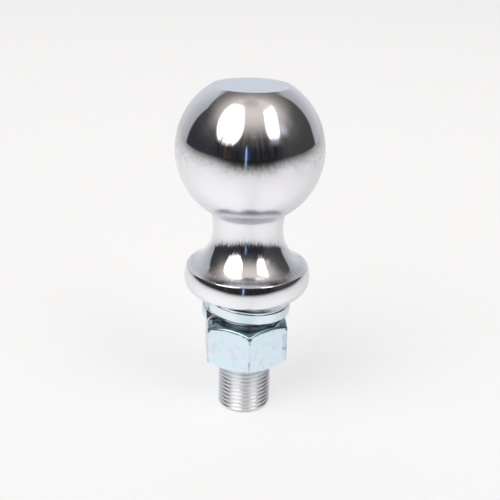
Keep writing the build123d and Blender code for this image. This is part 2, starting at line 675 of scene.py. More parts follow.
@dataclass(frozen=True)
class BrightZinc:
    """Blue-bright zinc plate, with a faint iridescence from its passivation and worn corners."""

    name: str
    base: Colour = (0.73, 0.875, 0.94)
    green: Colour = (0.71, 0.885, 0.90)
    lavender: Colour = (0.76, 0.84, 0.95)
    worn: Colour = (0.30, 0.39, 0.41)
    gloss: float = 0.17
    grain_gloss: float = 0.1
    mottled_gloss: float = 0.06
    mottled_share: float = 0.15
    grain_depth: float = 0.010
    green_clouds: Cloud = Cloud((150.0, 150.0, 150.0), shift=1.0, low=0.45, high=0.7)
    lavender_clouds: Cloud = Cloud((170.0, 170.0, 170.0), shift=7.0, low=0.45, high=0.7)
    mottling: Cloud = Cloud((420.0, 420.0, 420.0), shift=4.0, low=0.44, high=0.72)
    grain: Cloud = Cloud((900.0, 900.0, 900.0), shift=2.0)

    def build(self) -> bpy.types.Material:
        """Builds the material.

        Returns:
            The material: ice blue with green and lavender clouds, and a fine-grained gloss.
        """
        metal = Metal(self.name)
        _, green = metal.cloud(self.green_clouds)
        _, lavender = metal.cloud(self.lavender_clouds)
        _, mottled = metal.cloud(self.mottling)
        grain, _ = metal.cloud(self.grain)
        tinted = mix(green, self.base, self.green)
        tinted = mix(lavender, tinted, self.lavender)
        tinted = mix(mottled * self.mottled_share, tinted, self.worn)
        metal.colour(self.wear(metal, tinted))
        gloss = self.gloss - self.grain_gloss * NOISE_MEAN
        metal.roughness(grain * self.grain_gloss + mottled * self.mottled_gloss + gloss)
        metal.bump(grain, self.grain_depth)
        return metal.material

    def wear(self, metal: Metal, plate: bpy.types.NodeSocket) -> bpy.types.NodeSocket:
        """Gives the plate's colour as it is, for a piece without worn places of its own."""
        return plate


@dataclass(frozen=True)
class NutZinc(BrightZinc):
    """The nut's zinc plate: with painted shade on its top chamfer, chipped at its corners and
    stained at one.

    Widths beside a corner are in degrees round the axis. Places on the cone of the chamfer are in
    millimetres above it, along the axis.
    """

    # painted shade on the top face and chamfer, under the washer
    shadow: Colour = (0.145, 0.26, 0.285)
    shadow_share: float = 0.95
    highlight_share: float = 0.35
    stain: Colour = (0.08, 0.20, 0.42)
    stain_azimuth: float = -25.2
    stain_width: Step = (6.5, 3.0)
    stain_levels: Band = (26.0, 31.5, 1.2)
    stain_share: float = 0.2
    stain_chips: float = 0.7
    burnt: Colour = (0.10, 0.09, 0.08)
    corner_width: Step = (2.2, 0.3)
    corner_share: float = 0.12
    corner_chips: float = 0.75
    chamfer_edge: Step = (-0.05, -0.005)
    face_edge: Step = (-0.12, -0.04)
    rim: Band = (-0.58, -0.36, 0.06)
    rim_share: float = 0.75
    tip: Band = (-1.2, -0.25, 0.25)
    tip_width: Step = (4.2, 1.6)
    tip_share: float = 0.85
    chips: Cloud = Cloud((380.0, 380.0, 300.0), shift=9.0, low=0.48, high=0.6)
    nicks: Cloud = Cloud((900.0, 900.0, 300.0), shift=12.0, low=0.45, high=0.55)
    # painted highlights: lighter horizontal streaks in the painted shade on the chamfer
    highlight_streaks: Cloud = Cloud((260.0, 260.0, 900.0), shift=6.0, low=0.42, high=0.62)

    def wear(self, metal: Metal, plate: bpy.types.NodeSocket) -> bpy.types.NodeSocket:
        """Paints shade on the top chamfer, and darkens the upright corners and their tips, and a
        patch at one corner.

        Args:
            metal: The material.
            plate: The colour of the sound plate.

        Returns:
            The colour's socket.
        """
        _, chips = metal.cloud(self.chips)
        _, nicks = metal.cloud(self.nicks)
        _, highlight_streaks = metal.cloud(self.highlight_streaks)
        azimuth = metal.turn * -DEGREES + 90.0
        half = HEXAGON_TURN / 2
        turned = azimuth - NUT_CORNER_AZIMUTH + (360.0 + half)
        beside = (turned.math("MODULO", HEXAGON_TURN) - half).math("ABSOLUTE")
        corners = beside.rise(*self.corner_width) * (chips * self.corner_chips + self.corner_share)
        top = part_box(Piece.NUT.value)[1].z / MILLIMETRE
        slope = float(np.tan(np.radians(NUT_CHAMFER_ANGLE)))
        cone = metal.level + metal.reach * slope - (top + NUT_FACE_RADIUS * slope)
        face = metal.level.rise(*(top + edge for edge in self.face_edge))
        chamfer = cone.rise(*self.chamfer_edge).largest(face)
        rim = cone.within(*self.rim) * nicks * self.rim_share
        tips = beside.rise(*self.tip_width) * cone.within(*self.tip) * self.tip_share
        at_stain = (azimuth - self.stain_azimuth).math("ABSOLUTE").rise(*self.stain_width)
        stain = at_stain * metal.level.within(*self.stain_levels)
        # painted shade on the top face and chamfer, broken by painted highlights in horizontal
        # streaks, laid under the wear
        shadow = chamfer * (highlight_streaks * -self.highlight_share + self.shadow_share)
        worn = mix(shadow, plate, self.shadow)
        worn = mix(stain * (chips * self.stain_chips + self.stain_share), worn, self.stain)
        worn = mix(corners, worn, self.worn)
        return mix(rim.largest(tips), worn, self.burnt)


# The pieces


@dataclass(frozen=True)
class Thread:
    """The shank's right-hand thread, with rounded crests and roots."""

    pitch: float = 1.5875
    depth: float = 0.64
    crest_share: float = 0.08
    root_share: float = 0.12
    top: float = 38.6
    runout: float = 2.4

    def cut(self, turn: Array, level: Array) -> Array:
        """Gives how far the surface lies inside the major diameter.

        The crest follows the helix level = pitch * turn / 2 pi. The cut rises with the distance
        from it, from 0 over the crest to the full depth over the root, along smooth flanks, and it
        fades out over the run-out at the thread's top.

        Args:
            turn: Angles round the axis, in radians.
            level: Levels, of a shape that combines with turn's.

        Returns:
            The depth of the cut.
        """
        phase = np.mod(level / self.pitch - turn / (2.0 * np.pi), 1.0)
        from_crest = 2.0 * np.minimum(phase, 1.0 - phase)
        flank = smoothstep(from_crest, self.crest_share, 1.0 - self.root_share)
        fade = 1.0 - smoothstep(level, self.top, self.top + self.runout)
        return self.depth * flank * fade


@dataclass
class BallStud:
    """Ball, neck, flange and threaded shank, turned in one piece."""

    chrome: MirrorChrome
    thread: Thread
    columns: int = 160
    rows_per_pitch: int = 12
    flat_radius: float = 13.1
    flat_edge_radius: float = 0.4
    neck_radius: float = 12.25
    waist_radius: float = 25.0
    root_radius: float = 2.0
    flare_top_height: float = 23.1
    flange_radius: float = 22.25
    foot_width: float = 4.3
    widest_height: float = 5.2
    crease_height: float = 9.2
    crease_radius: float = 0.7
    side_radius: float = 11.5
    end_chamfer: float = 0.95
    fillet_inset: float = 0.4  # of the seat's rings from the shank and from the foot
    end_face: tuple[float, float] = (0.3, 0.98)  # its first and last ring, as shares of its radius
    flat_end: float = 0.6  # the radius of the last ring on the ball's flat
    flat_start: float = 0.96  # its first ring, as a share of its radius
    face_rings: int = 4
    seat_rings: int = 5
    flat_rings: int = 7
    foot_rings: int = 31
    side_step: float = 1.5
    crease_step: float = 4.0
    flare_step: float = 1.2
    waist_step: float = 1.5
    root_step: float = 5.0
    ball_step: float = 1.0
    edge_step: float = 9.0

    def shank_grid(self, turn: Array) -> Array:
        """Works out the shank: its end face, chamfer, thread and plain top.

        The radius is the major radius less the thread's cut, and never more than the chamfer's
        cone, whose radius is the end face's plus the level.

        Args:
            turn: The angle of each column, in radians.

        Returns:
            The grid of profile points: rows, columns, 2.
        """
        end_radius = SHANK_RADIUS - self.end_chamfer
        threaded = self.thread.top + self.thread.runout
        count = int(threaded / self.thread.pitch * self.rows_per_pitch)
        level = np.concatenate([np.linspace(0.0, threaded, count), [SEAT_LEVEL]])[:, None]
        radius = SHANK_RADIUS - self.thread.cut(turn[None], level)
        radius = np.minimum(radius, end_radius + level)
        side = np.stack([radius, np.broadcast_to(level, radius.shape)], axis=-1)
        first, last = ((end_radius * share, 0.0) for share in self.end_face)
        face = stretch(first, last, self.face_rings)
        face = np.repeat(face[:, None, :], len(turn), axis=1)
        return np.concatenate([face, side])

    def flange_profile(self) -> Array:
        """Works out the flange's outline, from the edge of its seat up to the neck.

        Returns:
            The points (radius, level): an elliptical foot, the side's arc, the crease's arc and the
            flare's arc, each tangent to the next.
        """
        widest = SEAT_LEVEL + self.widest_height
        seat_radius = self.flange_radius - self.foot_width
        foot_turn = np.radians(np.linspace(-90.0, 0.0, self.foot_rings))[:-1]
        foot_reach = self.foot_width * np.cos(foot_turn)
        foot_drop = self.widest_height * np.sin(foot_turn)
        foot = np.stack([seat_radius + foot_reach, widest + foot_drop], axis=-1)
        side_centre = np.array([self.flange_radius - self.side_radius, widest])
        rise = self.crease_height - self.widest_height
        crease_angle = np.degrees(np.arcsin(rise / self.side_radius))
        crease = side_centre + [np.sqrt(self.side_radius**2 - rise**2), rise]
        crease_centre = crease + self.crease_radius / self.side_radius * (side_centre - crease)
        flare_top = np.array([self.neck_radius, SEAT_LEVEL + self.flare_top_height])
        span = flare_top - crease_centre
        flare_radius = (span @ span - self.crease_radius**2) / (2 * (self.crease_radius - span[0]))
        flare_centre = flare_top + [flare_radius, 0.0]
        way = flare_centre - crease_centre
        way_angle = np.degrees(np.arctan2(way[1], way[0]))
        side = arc(side_centre, self.side_radius, 0.0, crease_angle, self.side_step)
        edge = arc(crease_centre, self.crease_radius, crease_angle, way_angle, self.crease_step)
        flare = arc(flare_centre, flare_radius, 180.0 + way_angle, 180.0, self.flare_step)
        return np.concatenate([foot, side, edge[1:], flare[1:]])

    def ball_profile(self, ball_radius: float, flat_level: float) -> Array:
        """Works out the outline from the neck up to the middle of the ball's flat.

        Args:
            ball_radius: The ball's radius.
            flat_level: The level of its flat top.

        Returns:
            The points (radius, level): the neck's hollow above its waist, its root arc, the ball's
            arc, the rounded edge of the flat and the flat.
        """
        centre = np.array([0.0, flat_level - np.sqrt(ball_radius**2 - self.flat_radius**2)])
        waist_level = SEAT_LEVEL + self.flare_top_height
        waist_centre = np.array([self.neck_radius + self.waist_radius, waist_level])
        root_centre = meeting(
            centre,
            ball_radius + self.root_radius,
            waist_centre,
            self.waist_radius - self.root_radius,
        )
        from_ball = root_centre - centre
        from_waist = root_centre - waist_centre
        root_angle = np.degrees(np.arctan2(-from_ball[1], from_ball[0]))
        waist_angle = np.degrees(np.arctan2(from_waist[1], from_waist[0]))
        neck = arc(waist_centre, self.waist_radius, 180.0, waist_angle, self.waist_step)
        root_end = 180.0 - root_angle
        root = arc(root_centre, self.root_radius, waist_angle, root_end, self.root_step)
        edge_centre_level = flat_level - self.flat_edge_radius
        edge_reach = ball_radius - self.flat_edge_radius
        edge_angle = np.degrees(np.arcsin((edge_centre_level - centre[1]) / edge_reach))
        edge_centre = centre + edge_reach * np.array(
            [np.cos(np.radians(edge_angle)), np.sin(np.radians(edge_angle))]
        )
        ball = arc(centre, ball_radius, -root_angle, edge_angle, self.ball_step)
        edge = arc(edge_centre, self.flat_edge_radius, edge_angle, 90.0, self.edge_step)
        flat_start = (edge_centre[0] * self.flat_start, flat_level)
        flat = stretch(flat_start, (self.flat_end, flat_level), self.flat_rings)
        return np.concatenate([neck[1:], root[1:], ball[1:], edge[1:], flat])

    def build(self) -> bpy.types.Object:
        """Builds the stud's mesh and dresses it.

        Returns:
            The piece.
        """
        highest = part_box(Piece.STUD.value)[1] / MILLIMETRE
        turn = np.linspace(0.0, 2.0 * np.pi, self.columns, endpoint=False)
        shank = revolve(self.shank_grid(turn), turn)
        seat_start = SHANK_RADIUS + self.fillet_inset
        seat_end = self.flange_radius - self.foot_width - self.fillet_inset
        seat = stretch((seat_start, SEAT_LEVEL), (seat_end, SEAT_LEVEL), self.seat_rings)
        profile = [seat, self.flange_profile(), self.ball_profile(highest.x, highest.z)]
        body = revolve(np.concatenate(profile), turn)
        piece = grid_piece("ball_stud_turned", np.concatenate([shank, body]))
        return dress(piece, self.chrome.build(), Body.STUD, Piece.STUD)


@dataclass
class HexNut:
    """Hexagon nut, chamfered at both ends, with rounded edges and a threaded bore."""

    zinc: BrightZinc
    thread: Thread
    across_flats: float = 28.575
    corner_rounding: float = 0.45
    edge_rounding: float = 1.0
    face_rounding: float = 0.3
    thread_clearance: float = 0.15
    thread_share: float = 0.75
    flat_points: int = 14
    corner_points: int = 6
    side_rows: int = 6
    edge_rows: int = 6
    rim_rows: int = 5
    bore_rows: int = 120

    def outline(self) -> Array:
        """Works out the hexagon with rounded corners.

        Each side is a straight stretch at the half width across flats, and each corner is an arc of
        the corner's rounding about a centre that lies that far inside both sides.

        Returns:
            The points (x, y), anticlockwise.
        """
        half_turn = HEXAGON_TURN / 2
        inner = (self.across_flats / 2 - self.corner_rounding) / np.cos(np.radians(half_turn))
        corner = np.radians(NUT_CORNER_AZIMUTH + HEXAGON_TURN * np.arange(6))
        bend = np.radians(np.linspace(-half_turn, half_turn, self.corner_points + 1))
        centres = inner * np.stack([np.cos(corner), np.sin(corner)], axis=-1)
        angle = corner[:, None] + bend[None]
        outward = np.stack([np.cos(angle), np.sin(angle)], axis=-1)
        arcs = centres[:, None] + self.corner_rounding * outward
        following = np.roll(arcs[:, 0], -1, axis=0)
        share = (np.arange(1, self.flat_points) / self.flat_points)[None, :, None]
        sides = arcs[:, -1:] * (1 - share) + following[:, None] * share
        return np.concatenate([arcs, sides], axis=1).reshape(-1, 2)

    def end_profile(self, reach: Array, end: float, inward: float) -> Array:
        """Works out one end of the nut, from its side over the chamfer to the middle of its face.

        The chamfer is a cone about the axis. It meets the side and the face in small arcs that are
        tangent to both.

        Args:
            reach: The outline's distance from the axis at each column.
            end: The level of the face.
            inward: -1 for the top end, and 1 for the bottom end.

        Returns:
            The points (radius, level): rows, columns, 2.
        """
        slope = np.radians(NUT_CHAMFER_ANGLE)
        sharp_level = end + inward * (reach - NUT_FACE_RADIUS) * np.tan(slope)
        side_turn = np.pi / 2 - slope
        setback = self.edge_rounding * np.tan(side_turn / 2)
        bend = np.linspace(0.0, side_turn, self.edge_rows)[:, None]
        edge_radius = reach - self.edge_rounding + self.edge_rounding * np.cos(bend)
        edge_level = sharp_level + inward * setback - inward * self.edge_rounding * np.sin(bend)
        face_setback = self.face_rounding * np.tan(slope / 2)
        face_bend = np.linspace(np.pi / 2 - slope, np.pi / 2, self.rim_rows)[:, None]
        rim_radius = NUT_FACE_RADIUS - face_setback + self.face_rounding * np.cos(face_bend)
        rim_level = end + inward * self.face_rounding * (1.0 - np.sin(face_bend))
        blank = np.zeros_like(reach)[None]
        rim = np.stack([rim_radius + blank, rim_level + blank], axis=-1)
        edge = np.stack([edge_radius, edge_level], axis=-1)
        middle = (edge[-1:] + rim[:1]) / 2
        return np.concatenate([edge, middle, rim])

    def bore_profile(self, turn: Array, bottom: float, top: float) -> Array:
        """Works out the threaded bore, from its top mouth down to its bottom mouth.

        The radius follows the shank's thread at a clearance, and is never less than that of the
        countersinks.

        Args:
            turn: The angle of each column, in radians.
            bottom: The level of the nut's bottom face.
            top: The level of its top face.

        Returns:
            The points (radius, level): rows, columns, 2.
        """
        level = np.linspace(top, bottom, self.bore_rows)[:, None]
        major = SHANK_RADIUS + self.thread_clearance
        radius = major - self.thread_share * self.thread.cut(turn[None], level)
        depth = np.minimum(top - level, level - bottom)
        radius = np.maximum(radius, NUT_MOUTH_RADIUS - depth)
        return np.stack([radius, np.broadcast_to(level, radius.shape)], axis=-1)

    def build(self) -> bpy.types.Object:
        """Builds the nut's mesh and dresses it.

        Returns:
            The piece.
        """
        lowest, highest = (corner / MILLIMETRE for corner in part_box(Piece.NUT.value))
        outline = self.outline()
        turn = np.arctan2(outline[:, 1], outline[:, 0])
        reach = np.hypot(outline[:, 0], outline[:, 1])
        lower = self.end_profile(reach, lowest.z, 1.0)[::-1]
        upper = self.end_profile(reach, highest.z, -1.0)
        share = np.linspace(0.0, 1.0, self.side_rows + 2)[1:-1, None, None]
        side = lower[-1:] * (1 - share) + upper[:1] * share
        bore = self.bore_profile(turn, lowest.z, highest.z)
        profile = np.concatenate([lower, side, upper, bore])
        piece = grid_piece("hex_nut_threaded", revolve(profile, turn), closed=True)
        return dress(piece, self.zinc.build(), Body.NUT, Piece.NUT)


@dataclass
class LockWasher:
    """Split spring washer: one turn of rounded wire, coiled left-handed, that leans on the nut."""

    zinc: BrightZinc
    bore_radius: float = 10.175
    wire_width: float = 5.6
    wire_height: float = 4.5
    edge_radius: float = 1.0
    pitch: float = 4.8
    split_gap: float = 1.0
    end_slant: float = 20.0
    split_azimuth: float = 209.0
    tip_lean: float = 2.0
    seat_clearance: float = 0.2
    end_rounding: float = 0.18
    steps: int = 180
    corner_step: float = 15.0
    side_points: int = 5

    def section(self, inset: float) -> Array:
        """Works out the wire's section: a rectangle with rounded corners.

        Args:
            inset: How far its outline is drawn in on every side.

        Returns:
            The points (outward, upward) from its middle, anticlockwise.
        """
        height = self.wire_height / np.cos(np.radians(self.end_slant))
        half = np.array([self.wire_width, height]) / 2 - self.edge_radius
        rounding = self.edge_radius - inset
        signs = ((1, 1), (-1, 1), (-1, -1), (1, -1))
        quarters = [
            arc(half * sign, rounding, 90.0 * index, 90.0 * (index + 1), self.corner_step)
            for index, sign in enumerate(signs)
        ]
        corners = np.stack(quarters)
        following = np.roll(corners[:, 0], -1, axis=0)
        share = np.linspace(0.0, 1.0, self.side_points + 2)[1:-1][None, :, None]
        sides = corners[:, -1:] * (1 - share) + following[:, None] * share
        return np.concatenate([corners, sides], axis=1).reshape(-1, 2)

    def coil(self, nut_top: float) -> Array:
        """Sweeps the section along the leaning left-hand helix.

        The helix goes clockwise round the coil's axis as it rises, one pitch a turn. The section's
        upward side leans forward by the end's slant, so both ends are cut on the slant.

        Args:
            nut_top: The level of the nut's top face.

        Returns:
            The grid of points: steps, points round the wire, 3.
        """
        coil_radius = self.bore_radius + self.wire_width / 2
        full = 2.0 * np.pi - self.split_gap / coil_radius
        inner = np.linspace(0.0, full, self.steps)
        bevel = self.end_rounding / coil_radius
        inner = np.clip(inner, bevel, full - bevel)
        angle = np.concatenate([[0.0], inner, [full]])
        outward = np.stack([np.cos(angle), -np.sin(angle), np.zeros_like(angle)], axis=-1)
        run = self.pitch / (2.0 * np.pi)
        centre = coil_radius * outward + (run * angle)[:, None] * UP
        tangent = np.stack(
            [-coil_radius * np.sin(angle), -coil_radius * np.cos(angle), np.full_like(angle, run)],
            axis=-1,
        )
        tangent /= np.linalg.norm(tangent, axis=-1, keepdims=True)
        upward = np.cross(tangent, outward)
        slant = np.radians(self.end_slant)
        upward = np.cos(slant) * upward + np.sin(slant) * tangent
        sections = np.repeat(self.section(0.0)[None], len(angle), axis=0)
        sections[[0, -1]] = self.section(self.end_rounding)
        across = sections[..., :1] * outward[:, None]
        grid = centre[:, None] + across + sections[..., 1:] * upward[:, None]
        return self.lay(grid, nut_top)

    def lay(self, grid: Array, nut_top: float) -> Array:
        """Turns the upright coil into its lean and sets it on the nut.

        Args:
            grid: Points of the upright coil, whose lower tip starts on +X at level 0.
            nut_top: The level of the nut's top face.

        Returns:
            The points where the washer lies.
        """
        to_tip_slope = np.tan(np.radians(self.tip_lean))
        to_quarter_slope = self.pitch / (2 * np.pi * NUT_FACE_RADIUS)
        azimuth = np.radians(self.split_azimuth)
        to_tip = np.array([np.cos(azimuth), np.sin(azimuth)])
        to_quarter = np.array([to_tip[1], -to_tip[0]])
        lean = to_tip_slope * to_tip + to_quarter_slope * to_quarter
        tip_lift = to_tip_slope * NUT_MOUTH_RADIUS
        level = nut_top + self.seat_clearance + self.wire_height / 2 - tip_lift
        origin = np.array([*(lean * self.pitch / 2), level])
        x_axis = np.array([*to_tip, to_tip_slope])
        z_axis = np.array([*(-lean), 1.0])
        x_axis /= np.linalg.norm(x_axis)
        z_axis /= np.linalg.norm(z_axis)
        y_axis = np.cross(z_axis, x_axis)
        return origin + grid @ np.stack([x_axis, y_axis, z_axis])

    def build(self) -> bpy.types.Object:
        """Builds the washer's mesh and dresses it.

        Returns:
            The piece.
        """
        nut_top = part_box(Piece.NUT.value)[1].z / MILLIMETRE
        piece = grid_piece("lock_washer_coiled", self.coil(nut_top))
        return dress(piece, self.zinc.build(), Body.WASHER, Piece.WASHER)


# The studio


def ray_kinds(tree: bpy.types.NodeTree) -> tuple[Scalar, Scalar]:
    """Tells how a ray arrives.

    Args:
        tree: The node tree.

    Returns:
        Whether it comes straight from the camera, and whether it comes from there or a reflection.
    """
    path = tree.nodes.new("ShaderNodeLightPath")
    camera, glossy, clear = (
        Scalar(path.outputs[name])
        for name in ("Is Camera Ray", "Is Glossy Ray", "Is Transmission Ray")
    )
    return camera, camera.largest(glossy).largest(clear)


@dataclass
class Floor:
    """A wide, plain, pale floor, with painted shade that makes it dimmer away from the part in
    reflections.

    Azimuths are in degrees from the camera's side, positive towards +X, and distances from the part
    are in millimetres.
    """

    radius: float = 4000.0
    inner_share: float = 0.02
    rings: int = 24
    columns: int = 96
    paper: Colour = (0.86, 0.86, 0.86)
    plain: Colour = (1.0, 1.0, 1.0)
    glow: float = 0.44
    # painted light: the camera sees the floor a little brighter near the part, falling off outwards
    direct_fall: tuple[float, float] = (1100.0, 2.0)
    direct_far: float = 0.885
    painted_light_rise: float = 0.11
    # painted light: a bluish streak that glows on the floor in reflections only
    streak: Colour = (0.30, 0.52, 0.85)
    streak_azimuths: Band = (-6.4, -4.4, 0.9)
    streak_reach: Step = (330.0, 560.0)
    streak_light: float = 0.75
    blotches: Cloud = Cloud((11.0, 11.0, 11.0), shift=2.0)
    blotch_reach: Step = (120.0, 500.0)
    blotch_share: float = 0.9
    near_tone: float = 1.045
    front_azimuths: Step = (32.0, 6.0)
    front_dimming: float = 0.09
    back_azimuths: Step = (62.0, 135.0)
    back_dimming: float = 0.17
    right_azimuths: Step = (-15.0, 15.0)
    right_dimming: float = 0.055
    far_right_azimuths: Step = (55.0, 80.0)
    far_right_dimming: float = 0.05
    right_end: Step = (178.0, 145.0)
    middle: float = 1.0  # the azimuth that the stops below are the same on both sides of
    half_way: Stops = (
        (0.0, 305.0),
        (20.0, 320.0),
        (35.0, 365.0),
        (52.0, 530.0),
        (75.0, 570.0),
        (95.0, 720.0),
        (112.0, 750.0),
        (140.0, 480.0),
    )
    steepness: Stops = (
        (0.0, 4.2),
        (15.0, 3.7),
        (32.0, 2.8),
        (50.0, 2.1),
        (112.0, 2.0),
        (140.0, 3.3),
    )
    far_tone: Stops = (
        (0.0, 0.015),
        (45.0, 0.03),
        (72.0, 0.14),
        (92.0, 0.15),
        (112.0, 0.33),
        (140.0, 0.75),
    )

    def build(self) -> bpy.types.Object:
        """Builds the floor: a flat disc whose rings widen with the square of their place.

        Returns:
            The staged object.
        """
        reach = self.radius * np.linspace(1.0, self.inner_share, self.rings) ** 2
        turn = np.linspace(0.0, 2.0 * np.pi, self.columns, endpoint=False)
        rings = reach[:, None, None] * radial(turn)[None]
        points = np.concatenate([rings.reshape(-1, 3), np.zeros((1, 3))])
        index = np.arange(self.rings * self.columns).reshape(self.rings, self.columns)
        outer, inner = index[:-1], index[1:]
        quads = np.stack([outer, np.roll(outer, -1, 1), np.roll(inner, -1, 1), inner], axis=-1)
        middle = np.full(self.columns, len(points) - 1)
        fan = np.stack([index[-1], np.roll(index[-1], -1), middle], axis=-1)
        floor = mesh_object("pale_floor", points, quads.reshape(-1, 4).tolist() + fan.tolist())
        floor.data.materials.append(self.material())
        return floor

    def material(self) -> bpy.types.Material:
        """Builds the floor's plain pale material, with a bluish streak of painted light that glows
        on it in reflections.

        Its own faint glow, which only the camera and reflections see, keeps the part's shadow soft.
        The camera sees a nearly even tone, with painted light that makes it a little brighter near
        the part, and reflections see the one that tone() gives.

        Returns:
            The material.
        """
        material = bpy.data.materials.new("pale_floor")
        material.use_nodes = True
        tree = material.node_tree
        shader = tree.nodes["Principled BSDF"]
        place = tree.nodes.new("ShaderNodeTexCoord").outputs["Object"]
        x, y = (part * PER_METRE for part in split(place)[:2])
        reach = (x * x + y * y).math("SQRT")
        azimuth = x.math("ARCTAN2", y * -1.0) * DEGREES
        camera, seen = ray_kinds(tree)
        tone = self.tone(place, reach, azimuth)
        # painted light: a brighter tone near the part, for the camera
        direct = self.fall(reach, *self.direct_fall) * self.painted_light_rise + self.direct_far
        tone = tone + camera * (direct - tone)
        # painted light: the streak glows on the floor for reflections, not for the camera
        streak = azimuth.within(*self.streak_azimuths) * reach.rise(*self.streak_reach)
        streak = streak * camera.remainder()
        glow = seen * (tone * self.glow).largest(streak * self.streak_light)
        for name, value in (
            ("Base Color", mix(tone, BLACK, self.paper)),
            ("Emission Color", mix(streak, self.plain, self.streak)),
            ("Emission Strength", glow),
            ("Roughness", 1.0),
            ("Specular IOR Level", 0.0),
        ):
            feed(shader.inputs[name], value)
        return material

    def tone(self, place: bpy.types.NodeSocket, reach: Scalar, azimuth: Scalar) -> Scalar:
        """Works out how bright reflections see the floor, as a share of the paper's colour.

        It dims with the distance from the part, the most in front, where the camera stands. Near
        the part it is a little dimmer in front, to the right and at the back, and further out it is
        uneven. The dimming is painted shade: the room's dim light far out and the camera's shadow
        in front, put into the floor's colour and glow.

        Args:
            place: The place on the floor.
            reach: Its distance from the part.
            azimuth: Its azimuth.

        Returns:
            The tone.
        """
        turned = (azimuth - self.middle).math("ABSOLUTE")
        # painted shade: the floor's tone falls off with distance, the most in front
        far = turned.follow(self.far_tone)
        near = self.fall(reach, turned.follow(self.half_way), turned.follow(self.steepness))
        front = turned.rise(*self.front_azimuths) * -self.front_dimming
        top = front + turned.rise(*self.back_azimuths) * -self.back_dimming + self.near_tone
        right = azimuth.rise(*self.right_azimuths) * self.right_dimming
        right = right + azimuth.rise(*self.far_right_azimuths) * self.far_right_dimming
        right = right * azimuth.rise(*self.right_end)
        tone = (near * far.remainder() + far) * (top - right)
        blotches, _ = self.blotches.read(place)
        uneven = (blotches - NOISE_MEAN) * reach.rise(*self.blotch_reach) * self.blotch_share
        return tone * (uneven + 1.0)

    def fall(self, reach: Scalar, half: "Scalar | float", power: "Scalar | float") -> Scalar:
        """Falls from 1 with distance along 1 / (1 + (reach / half) ^ power)."""
        return (reach.math("DIVIDE", half).math("POWER", power) + 1.0).math("POWER", -1.0)


@dataclass(frozen=True)
class Strands:
    """Upright strands of light and shade, as in hanging cloth."""

    width: float
    seed: float
    upright: float = 0.02
    detail: float = 2.0

    def read(self, azimuth: Scalar, elevation: Scalar) -> Scalar:
        """Gives the strands, about 0 to 1, about width degrees wide and much taller."""
        across = azimuth * (1.0 / self.width) + self.seed
        return noise(combine({"X": across, "Y": elevation * self.upright}), self.detail)


@dataclass(frozen=True)
class Patch:
    """A soft-edged patch of one colour in the room, by azimuth and elevation."""

    azimuths: Band
    elevations: Band
    colour: Colour
    share: float = 1.0

    def mask(self, azimuth: Scalar, elevation: Scalar) -> Scalar:
        """Is the patch's share inside it and 0 outside."""
        return azimuth.within(*self.azimuths) * elevation.within(*self.elevations) * self.share


@dataclass(frozen=True)
class Window:
    """One soft window of the room, between four bowed edges.

    Angles are in degrees. Outward means away from the camera's azimuth, on the window's own side.
    Bows are in degrees for each 10 degrees squared.
    """

    side: float
    inner: float
    inner_level: float
    inner_bow: float
    outer: float
    outer_slope: float
    outer_bow: float
    head: float
    head_azimuth: float
    head_bow: float
    foot: float
    foot_azimuth: float
    foot_bow: float
    raggedness: float
    outer_level: float = 30.0
    outer_bow_level: float = 40.0
    inner_edge: Step = (-2.0, 2.5)
    outer_edge: Step = (-2.5, 2.5)
    head_edge: Step = (-4.5, 4.5)
    foot_edge: Step = (-4.5, 5.5)

    def mask(self, azimuth: Scalar, elevation: Scalar, strands: Scalar) -> Scalar:
        """Works out where the window shows.

        Args:
            azimuth: The direction's azimuth.
            elevation: Its elevation.
            strands: The strands about 0 that hide the window's foot, as far as its raggedness.

        Returns:
            1 inside the window and 0 outside.
        """
        outward = azimuth * self.side
        above = (elevation - self.inner_level) * 0.1
        inner = outward - above * above * self.inner_bow - self.inner
        high = ((elevation - self.outer_bow_level) * 0.1).largest(0.0)
        straight = (elevation - self.outer_level) * self.outer_slope
        outer = straight + high * high * self.outer_bow + self.outer - outward
        beside = (outward - self.head_azimuth) * 0.1
        head = beside * beside * -self.head_bow + self.head - elevation
        along = (outward - self.foot_azimuth) * 0.1
        foot = elevation - along * along * self.foot_bow - strands * self.raggedness - self.foot
        upright = inner.rise(*self.inner_edge) * outer.rise(*self.outer_edge)
        return upright * head.rise(*self.head_edge) * foot.rise(*self.foot_edge)


@dataclass(frozen=True)
class Backdrop:
    """The pale backdrop behind the part, from the room's left side round to its right.

    Its left and right edges lean: above a level, they move towards +X by so many degrees for each
    degree of elevation.
    """

    colour: Colour = (0.655, 0.675, 0.705)
    middle: Colour = (0.64, 0.685, 0.745)
    middle_azimuths: Step = (152.0, 172.0)
    left_edge: Step = (-110.5, -114.5)
    left_lean: tuple[float, float] = (38.0, 1.6)
    right_edge: Step = (114.0, 119.0)
    right_lean: tuple[float, float] = (8.0, 0.42)
    top_edge: Step = (57.0, 42.0)
    side_share: float = 0.56
    middle_gain: float = 0.42
    gain_azimuths: Step = (108.0, 160.0)
    right_dimming: float = 0.34
    dimmed_elevations: Step = (-4.0, 44.0)
    dimmed_azimuths: Step = (172.0, 150.0)

    def over(
        self, room: bpy.types.NodeSocket, azimuth: Scalar, elevation: Scalar
    ) -> bpy.types.NodeSocket:
        """Lays the backdrop over the room.

        Args:
            room: The room's colour.
            azimuth: The direction's azimuth.
            elevation: Its elevation.

        Returns:
            The colour's socket.
        """
        aside = azimuth.math("ABSOLUTE")
        left, right = (
            (elevation - level).largest(0.0) * slope
            for level, slope in (self.left_lean, self.right_lean)
        )
        left_side = (azimuth + left).rise(*self.left_edge)
        right_side = (azimuth - right).rise(*self.right_edge)
        dimmed = right_side * elevation.rise(*self.dimmed_elevations)
        dimmed = dimmed * aside.rise(*self.dimmed_azimuths) * self.right_dimming
        shown = left_side.largest(right_side) * elevation.rise(*self.top_edge)
        strength = aside.rise(*self.gain_azimuths) * self.middle_gain + self.side_share
        colour = mix(aside.rise(*self.middle_azimuths), self.colour, self.middle)
        return mix(shown * strength * dimmed.remainder(), room, colour)


